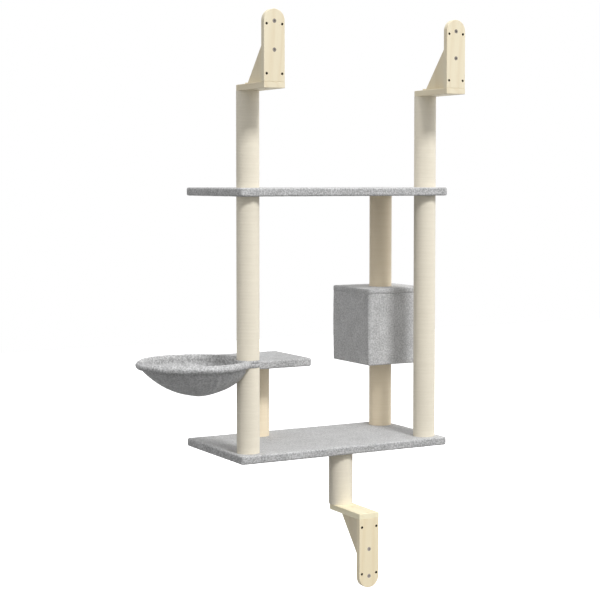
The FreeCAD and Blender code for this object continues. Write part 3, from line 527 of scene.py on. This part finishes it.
def wound_post(node, finish):
    """Rope winding over the whole length of a post section."""
    low, high, middle, size = extent(node)
    radius = size.x / 2
    turns = round(size.z / ROPE_RISE)
    rise = size.z / turns
    bm = bmesh.new()
    section = []
    for step in range(SECTION_STEPS + 1):
        lean = step / SECTION_STEPS
        bulge = math.sin(math.pi * lean) ** 0.6
        spot = (middle.x + radius - ROPE_HEIGHT * (1 - bulge), middle.y, low.z + rise * (lean - 1))
        section.append(bm.verts.new(spot))
    lines = [bm.edges.new(pair) for pair in zip(section, section[1:])]
    bmesh.ops.spin(bm, geom=section + lines, cent=(middle.x, middle.y, low.z), axis=(0, 0, 1),
                   dvec=(0, 0, rise / STEPS_ROUND), angle=math.tau, steps=STEPS_ROUND)
    # each pass repeats all the turns made so far, and the last pass only those that lack
    made_turns = 1
    while made_turns < turns + 1:
        more = min(made_turns, turns + 1 - made_turns)
        wanted = bm.faces[:] if more == made_turns else [
            face for face in bm.faces if face.index < more * STEPS_ROUND * SECTION_STEPS]
        copies = bmesh.ops.duplicate(bm, geom=wanted)["geom"]
        fresh = [item for item in copies if isinstance(item, bmesh.types.BMVert)]
        bmesh.ops.translate(bm, vec=(0, 0, rise * made_turns), verts=fresh)
        made_turns += more
        bm.faces.index_update()
    bmesh.ops.remove_doubles(bm, verts=bm.verts, dist=1e-5)
    for vert in bm.verts:
        vert.co.z = min(max(vert.co.z, low.z), high.z)
    bmesh.ops.dissolve_degenerate(bm, edges=bm.edges, dist=1e-6)
    rim = [edge for edge in bm.edges if edge.is_boundary]
    bmesh.ops.holes_fill(bm, edges=rim, sides=0)
    unwrap = bm.loops.layers.uv.new("winding")
    for face in bm.faces:
        start = face.calc_center_median() - middle
        heading = math.atan2(start.y, start.x)
        for loop in face.loops:
            off = loop.vert.co - middle
            turn = math.remainder(math.atan2(off.y, off.x) - heading, math.tau)
            loop[unwrap].uv = ((heading + turn) * radius, loop.vert.co.z)
    return finished(node.replace("_post_rope", "_winding"), bm, finish, "tree", node)


print("one turn of rope has", STEPS_ROUND * SECTION_STEPS, "faces")

# %% Wind every post
# the rear posts stand in shade under the top shelf, the box and the step, and get the copy of the rope with
# painted bounce light
REAR_POSTS = ("box_stand", "box_top", "step_stand")
windings = []
for node in sorted(frame["nodes"]):
    if node.endswith("_post_rope"):
        rear = node.replace("_post_rope", "") in REAR_POSTS
        windings.append(wound_post(node, warm_rope if rear else cream_rope))
print("posts wound:", len(windings), "faces in all:", sum(len(piece.data.polygons) for piece in windings))

# %% [markdown]
# ## Plush on the shelves
# A board wrapped in plush has soft round edges, a little fuller than the board, and a
# surface that is never quite flat. A cube takes the shelf's size, its upright edges are
# rounded first and then its rims, plane cuts give it a fine grid, and each point moves a
# little in or out as the pile does.

# %% Covered slab
CORNER_STEPS = 5
EDGE_STEPS = 4
SHELF_INSET = Vector((0.0003, 0.0003, 0.0001))
SHELF_PILE = 0.0005


def slice_through(bm, spot, across):
    """Cuts every face along the plane through a spot."""
    everything = bm.verts[:] + bm.edges[:] + bm.faces[:]
    bmesh.ops.bisect_plane(bm, geom=everything, plane_co=spot, plane_no=across)


def rounded(bm, lines, radius, steps):
    """Rounds these edges."""
    bmesh.ops.bevel(bm, geom=lines, offset=radius, affect="EDGES", segments=steps, profile=0.5, material=-1)


def gridded_block(low, high, corner, edge, cell):
    """Block with rounded corners and rims, cut into cells."""
    size = high - low
    bm = bmesh.new()
    bmesh.ops.create_cube(bm, size=1)
    bmesh.ops.scale(bm, vec=size, verts=bm.verts)
    bmesh.ops.translate(bm, vec=(low + high) / 2, verts=bm.verts)
    upright = [line for line in bm.edges if abs(line.verts[0].co.z - line.verts[1].co.z) > size.z / 2]
    rounded(bm, upright, corner, CORNER_STEPS)
    level = [line for line in bm.edges if abs(line.verts[0].co.z - line.verts[1].co.z) < size.z / 2]
    rounded(bm, level, edge, EDGE_STEPS)
    for axis in range(3):
        square = Vector([float(axis == part) for part in range(3)])
        cuts = max(1, round(size[axis] / cell))
        for step in range(1, cuts):
            slice_through(bm, low + square * size[axis] * step / cuts, square)
    return bm


def rough_pile(bm, depth, size=0.0042):
    """Moves every point in or out by a noise, as uneven pile does."""
    bm.normal_update()
    moves = [(vert, vert.normal * noise.noise(vert.co / size) * depth) for vert in bm.verts]
    for vert, move in moves:
        vert.co += move


def covered_shelf(node, name):
    """Plush over a whole shelf."""
    low, high = extent(node)[:2]
    bm = gridded_block(low + SHELF_INSET, high - SHELF_INSET, corner=0.006, edge=0.0045, cell=0.0055)
    bm.normal_update()
    # the sides of the shelf get the darker flecks: partly open pile, partly painted shade of the sides
    open_and_shade_pile(bm, lambda vert: 1 - abs(vert.normal.z))
    rough_pile(bm, SHELF_PILE)
    piece = finished(name, bm, shelf_plush, "tree", node)


for node, name in (("base_cover", "base_plush"), ("top_cover", "top_plush"), ("step_cover", "step_plush")):
    covered_shelf(node, name)
print("shelves covered")

# %% [markdown]
# ## The box
# The box is six panels in a plush cover. The cover has a lid piece whose edge hangs over
# the walls as a narrow hem, the walls ripple a little between the corners, and on the
# side away from the wall a round way in has a turned edge that lines the panel's hole.
# Three plane cuts below the lid's edge give the hem its points: the upper part stands out,
# and the middle cut is drawn in as the sewn groove. For the way in, the faces inside a
# circle are deleted, the ragged hole is bridged to the circle, and that is extruded inwards.

# %% The way in
OPENING = 0.062
OPENING_STEPS = 72
# turned edge of the way in: radius of each ring and its depth behind the face
TURNED_EDGE = ((OPENING + 0.0012, 0.0006), (OPENING + 0.0002, 0.0018), (OPENING, 0.004), (OPENING, 0.012))


def turn_to(bm, verts, towards, axis, up):
    """Turns points round the origin so that an axis of theirs looks that way."""
    bmesh.ops.rotate(bm, cent=(0, 0, 0), matrix=towards.to_track_quat(axis, up).to_matrix(), verts=verts)


def open_way_in(bm, centre):
    """Cuts the round way in and turns its edge inwards."""
    inside = [face for face in bm.faces if abs(face.calc_center_median().y - centre.y) < 0.001
              and (face.calc_center_median() - centre).length < OPENING + 0.010]
    bmesh.ops.delete(bm, geom=inside, context="FACES")
    ragged = [line for line in bm.edges if line.is_boundary]
    ring = bmesh.ops.create_circle(bm, segments=OPENING_STEPS, radius=OPENING + 0.003)["verts"]
    turn_to(bm, ring, Vector((0, -1, 0)), "Z", "Y")
    bmesh.ops.translate(bm, vec=centre, verts=ring)
    round_edge = list({line for vert in ring for line in vert.link_edges})
    bmesh.ops.bridge_loops(bm, edges=ragged + round_edge)
    for radius, depth in TURNED_EDGE:
        grown = bmesh.ops.extrude_edge_only(bm, edges=round_edge)["geom"]
        verts = [item for item in grown if isinstance(item, bmesh.types.BMVert)]
        round_edge = [item for item in grown if isinstance(item, bmesh.types.BMEdge)]
        for vert in verts:
            away = vert.co - centre
            away.y = 0
            vert.co = centre + away.normalized() * radius + Vector((0, depth, 0))


print("way in", round(2 * OPENING, 3), "m across")

# %% Hem and ripples
HEM = 0.013
HEM_OUT = 0.0013
SEAM = 0.003
SEAM_IN = 0.0005
ON_A_FACE = 0.985
SLACK = 0.0004
SIDE_SLACK = 0.0006
SIDE_RIPPLE = 0.0012
WALL_RIPPLE = 0.0008


def hang_walls(bm, low, middle, size, seam):
    """Gives the cloth its hem, its groove, and the slack of the walls below."""
    for vert in bm.verts:
        up = (vert.co.z - low.z) / size.z
        sag = math.sin(math.pi * min(max(up, 0), 1))
        hem = HEM_OUT if vert.co.z > seam - SEAM / 4 else 0.0
        if abs(vert.co.z - seam + SEAM / 2) < SEAM / 4:
            hem = -SEAM_IN
        sideways = (vert.co.x - middle.x) / (size.x / 2)
        outwards = (vert.co.y - middle.y) / (size.y / 2)
        if abs(sideways) > ON_A_FACE:
            ripple = SIDE_RIPPLE * math.sin(34 * vert.co.y + 1.3) * sag
            vert.co.x += math.copysign(hem / 2 + SIDE_SLACK + abs(ripple), sideways)
        if outwards > ON_A_FACE:
            vert.co.y += hem + SLACK + WALL_RIPPLE * math.sin(21 * vert.co.x + 0.7) * sag
        elif outwards < -ON_A_FACE and abs(vert.co.x - middle.x) > OPENING + 0.012:
            vert.co.y -= hem + SLACK


print("hem", HEM, "m high")

# %% Box cover
BOX_PILE = 0.0004
BOX_CLOTH = 0.0016


def box_cover():
    """Plush over the box, open at the way in."""
    low, high, middle, size = extent("box_cover")
    bm = gridded_block(low, high, corner=0.005, edge=0.003, cell=0.007)
    seam = high.z - HEM
    for level in (seam, seam - SEAM / 2, seam - SEAM):
        slice_through(bm, (0, 0, level), (0, 0, 1))
    open_way_in(bm, Vector((middle.x, low.y, middle.z)))
    hang_walls(bm, low, middle, size, seam)
    rough_pile(bm, BOX_PILE)
    piece = finished("box_plush", bm, shelf_plush, "tree", "box_cover")
    thick = piece.modifiers.new("thickness", "SOLIDIFY")
    thick.thickness = BOX_CLOTH
    thick.offset = -1
    return piece


box_plush = box_cover()

# %% [markdown]
# ## The hammock
# A plush roll is sewn round a steel ring, and a plush bowl hangs from it. The cloth is cut
# round and gathered on the ring, so soft folds run down from the rim and fade out, and the
# lowest point lies a little towards the post. Where the post stands inside the ring the
# cloth goes round it. The bowl is spun from half a profile and its points are then moved
# by formula, to follow the hang that the photograph shows. The roll's section is spun in
# the same way, from one side of the hub to the other.

# %% Hammock places
rim_high, rim_middle, rim_size = extent("hammock_rim")[1:]
post_size = extent("left_bottom_post_rope")[3]
hub_low, hub_high, hub_middle, hub_size = extent("hub_cover")
ROLL = rim_size.z / 2
RING = rim_size.y / 2 - ROLL
ring_centre = Vector((rim_high.x - RING - ROLL, rim_middle.y, rim_middle.z))
post_axis = Vector((hub_middle.x, hub_middle.y, ring_centre.z))
to_post = (post_axis - ring_centre).normalized()
post_heading = math.atan2(to_post.y, to_post.x)
print("ring", round(RING, 4), "m round", [round(part, 4) for part in ring_centre])

# %% Section of the bowl
BOWL_ROWS = 28
BEND_STEPS = 7
HEM_ROWS = 10
# the round bottom ends this far under the ring
UPRIGHT_BAND = 0.022
# the cloth goes over the roll this far from the ring's wire
OVER_ROLL = ROLL + 0.002
# where on the roll the cloth arrives and where its edge ends, counted up from straight outwards
TOUCH = math.radians(190)
HEM_END = math.radians(75)
HEM_TUCK = 0.003


def bowl_profile(deep):
    """Half the bowl's section: round bottom, up the roll's inner side and over into its top."""
    curve = (RING ** 2 + deep ** 2) / (2 * deep)
    leaving = math.acos(1 - (deep - UPRIGHT_BAND) / curve)
    spots = []
    for row in range(BOWL_ROWS + 1):
        angle = leaving * row / BOWL_ROWS
        spots.append(Vector((curve * math.sin(angle), curve * (1 - math.cos(angle)) - deep)))
    inner_side = Vector((RING + OVER_ROLL * math.cos(TOUCH), OVER_ROLL * math.sin(TOUCH)))
    rise = (inner_side.x - spots[-1].x) * math.tan(leaving)
    bend = Vector((inner_side.x, spots[-1].y + rise))
    spots += interpolate_bezier(spots[-1], bend, bend, inner_side, BEND_STEPS)[1:]
    for row in range(1, HEM_ROWS + 1):
        along = row / HEM_ROWS
        angle = TOUCH + (HEM_END - TOUCH) * along
        reach = OVER_ROLL - HEM_TUCK * max(0, along - 0.75) / 0.25
        spots.append(Vector((RING + reach * math.cos(angle), reach * math.sin(angle))))
    return spots


print("section of the bowl has", BOWL_ROWS + BEND_STEPS + HEM_ROWS, "points")

# %% Folds of the bowl
WIDE_FOLDS = 19
NARROW_FOLDS = 41
FOLD_DEPTH = 0.0038
FOLD_FADES = 0.42
SWAY = 0.0012
BOWL_DRIFT = 0.0102


def unevenness(heading, detail, level):
    """Noise that closes on itself round the ring."""
    return noise.noise(Vector((math.cos(heading) * detail, math.sin(heading) * detail, level)))


def gathers(heading):
    """Uneven folds round the rim, from about -1 to 1."""
    drift = 0.35 * unevenness(heading, 2, 3.0)
    wide = math.sin(WIDE_FOLDS * heading + 4 * drift)
    narrow = math.sin(NARROW_FOLDS * heading + 1.7 + 7 * drift)
    strength = 0.7 + 0.9 * unevenness(heading, 3, 8.0)
    return strength * (0.45 * wide + 0.55 * narrow)


def fold_cloth(bm, deep):
    """Lays the folds into the spun bowl and lets its lowest point drift towards the post."""
    for vert in bm.verts:
        off = vert.co - ring_centre
        out = max(math.hypot(off.x, off.y), 1e-6)
        heading = math.atan2(off.y, off.x)
        height = out / RING
        fallen = min(1, max(0, (-off.z - ROLL) / (deep - ROLL)))
        below_roll = min(1, fallen / 0.12 + 0.2) if off.z < 0 else 0.2
        fold = gathers(heading) * FOLD_DEPTH * math.exp(-((1 - height) / FOLD_FADES) ** 2) * below_roll
        sway = SWAY * math.sin(3 * heading + 0.8) * math.sin(math.pi * min(height, 1))
        inward = Vector((-off.x / RING, -off.y / RING, 1.2 - height)).normalized()
        vert.co += inward * (fold + sway) + to_post * BOWL_DRIFT * (1 - (1 - fallen) ** 2.5)


print("folds round the rim:", WIDE_FOLDS, "wide and", NARROW_FOLDS, "narrow")

# %% Bowl
BOWL_STEPS = 240
BOWL_LIFT = 0.0012
POST_ROOM = post_size.x / 2 + 0.0045
OPENED_SHADED_ON_ROLL = 0.8
OPENED_SHADED_BELOW = 0.15
BOWL_PILE = 0.0004
BOWL_CLOTH = 0.0022


def lead_round_post(bm):
    """Brings cloth that would run into the post to the side of it that faces the bowl."""
    reach = math.asin(POST_ROOM / RING)
    for vert in bm.verts:
        off = vert.co - ring_centre
        out = math.hypot(off.x, off.y)
        beside = math.remainder(math.atan2(off.y, off.x) - post_heading, math.tau)
        if out > 0 and abs(beside) < reach:
            limit = RING * math.cos(beside) - math.sqrt(POST_ROOM ** 2 - (RING * math.sin(beside)) ** 2)
            if out > limit:
                vert.co.x = ring_centre.x + off.x / out * limit
                vert.co.y = ring_centre.y + off.y / out * limit


def bowl():
    """Hanging cloth, and how far across it was cut."""
    low = extent("hammock_bowl")[0]
    deep = ring_centre.z - low.z - BOWL_LIFT
    bm = bmesh.new()
    spots = bowl_profile(deep)
    profile = [bm.verts.new(ring_centre + Vector((spot.x, 0, spot.y))) for spot in spots]
    lines = [bm.edges.new(pair) for pair in zip(profile, profile[1:])]
    bmesh.ops.spin(bm, geom=profile + lines, cent=ring_centre, axis=(0, 0, 1), angle=math.tau,
                   steps=BOWL_STEPS, use_merge=True)
    bmesh.ops.remove_doubles(bm, verts=bm.verts, dist=1e-5)
    fold_cloth(bm, deep)
    lead_round_post(bm)
    # the cloth over the roll gets much darker flecks and the hanging cloth a little: partly open pile,
    # partly painted shade
    open_and_shade_pile(bm, lambda vert: OPENED_SHADED_ON_ROLL if vert.co.z > ring_centre.z - ROLL else OPENED_SHADED_BELOW)
    rough_pile(bm, BOWL_PILE)
    piece = finished("hammock_cloth", bm, hammock_plush, "hammock", "hammock_bowl")
    thick = piece.modifiers.new("thickness", "SOLIDIFY")
    thick.thickness = BOWL_CLOTH
    thick.offset = 0
    return piece, 2 * sum((after - before).length for before, after in zip(spots, spots[1:]))


hammock_cloth, cut_across = bowl()
print("bowl cut round,", round(cut_across, 4), "m across")

# %% Plush roll round the ring
ROLL_SECTION = 18
ROLL_STEPS = 260
ROLL_FULLER = 0.0004
INTO_HUB = 0.02
INNER_SQUEEZE = 0.13
ROLL_PILE = 0.0012


def rim_roll():
    """Stuffed roll that runs round the ring from one side of the hub to the other."""
    bm = bmesh.new()
    gap = 2 * math.asin(hub_size.x / 2 / (2 * RING)) - INTO_HUB
    section = bmesh.ops.create_circle(bm, segments=ROLL_SECTION, radius=ROLL + ROLL_FULLER)["verts"]
    turn_to(bm, section, Vector((0, 1, 0)), "Z", "Y")
    bmesh.ops.translate(bm, vec=(RING, 0, 0), verts=section)
    lines = list({line for vert in section for line in vert.link_edges})
    bmesh.ops.spin(bm, geom=section + lines, cent=(0, 0, 0), axis=(0, 0, 1), angle=math.tau - 2 * gap,
                   steps=ROLL_STEPS)
    bmesh.ops.holes_fill(bm, edges=[line for line in bm.edges if line.is_boundary], sides=0)
    for vert in bm.verts:
        heading = math.atan2(vert.co.y, vert.co.x)
        core = Vector((math.cos(heading), math.sin(heading), 0)) * RING
        pinch = 0.035 * math.sin(58 * heading + 3 * math.sin(5 * heading))
        pinch += 0.04 * noise.noise(vert.co * 55)
        inward = max(0, 1 - math.hypot(vert.co.x, vert.co.y) / RING) * RING / ROLL
        vert.co = core + (vert.co - core) * (1 + pinch - INNER_SQUEEZE * inward)
    start = Vector((math.cos(post_heading + gap), math.sin(post_heading + gap), 0))
    turn_to(bm, bm.verts, start, "X", "Z")
    bmesh.ops.translate(bm, vec=ring_centre, verts=bm.verts)
    # the whole roll gets the darker flecks: partly open pile, partly painted shade
    open_and_shade_pile(bm, lambda vert: 1)
    rough_pile(bm, ROLL_PILE, size=0.0036)
    return finished("hammock_roll", bm, hammock_plush, "hammock", "hammock_rim")


hammock_roll = rim_roll()

# %% [markdown]
# The hub is the plush-covered drum between two post sections that carries the roll. Half of
# its section, which swells twice with a waist between, is spun all the way round.

# %% Hub between the posts
HUB_STEPS = 64
HUB_PILE = 0.0006
# share of the radius, and share of the height
HUB_SHAPE = [(0, 0), (0.93, 0), (0.99, 0.06), (1.02, 0.2), (1.03, 0.36), (1.01, 0.5), (0.965, 0.57),
             (0.965, 0.62), (1.0, 0.69), (1.015, 0.8), (0.99, 0.94), (0.93, 1), (0, 1)]


def hub():
    """Plush cover of the hub."""
    bm = bmesh.new()
    radius = hub_size.x / 2
    profile = []
    for out, up in HUB_SHAPE:
        spot = (hub_middle.x + out * radius, hub_middle.y, hub_low.z + up * hub_size.z)
        profile.append(bm.verts.new(spot))
    lines = [bm.edges.new(pair) for pair in zip(profile, profile[1:])]
    bmesh.ops.spin(bm, geom=profile + lines, cent=(hub_middle.x, hub_middle.y, 0), axis=(0, 0, 1),
                   angle=math.tau, steps=HUB_STEPS, use_merge=True)
    bmesh.ops.remove_doubles(bm, verts=bm.verts, dist=1e-5)
    for vert in bm.verts:
        if hub_low.z + 0.001 < vert.co.z < hub_high.z - 0.001:
            vert.co += (vert.co - hub_middle).normalized() * noise.noise(vert.co * 200) * HUB_PILE
    # the whole hub gets the darker flecks: partly open pile, partly painted shade
    open_and_shade_pile(bm, lambda vert: 1)
    return finished("hub_plush", bm, hammock_plush, "hammock", "hub_cover")


hub_plush = hub()
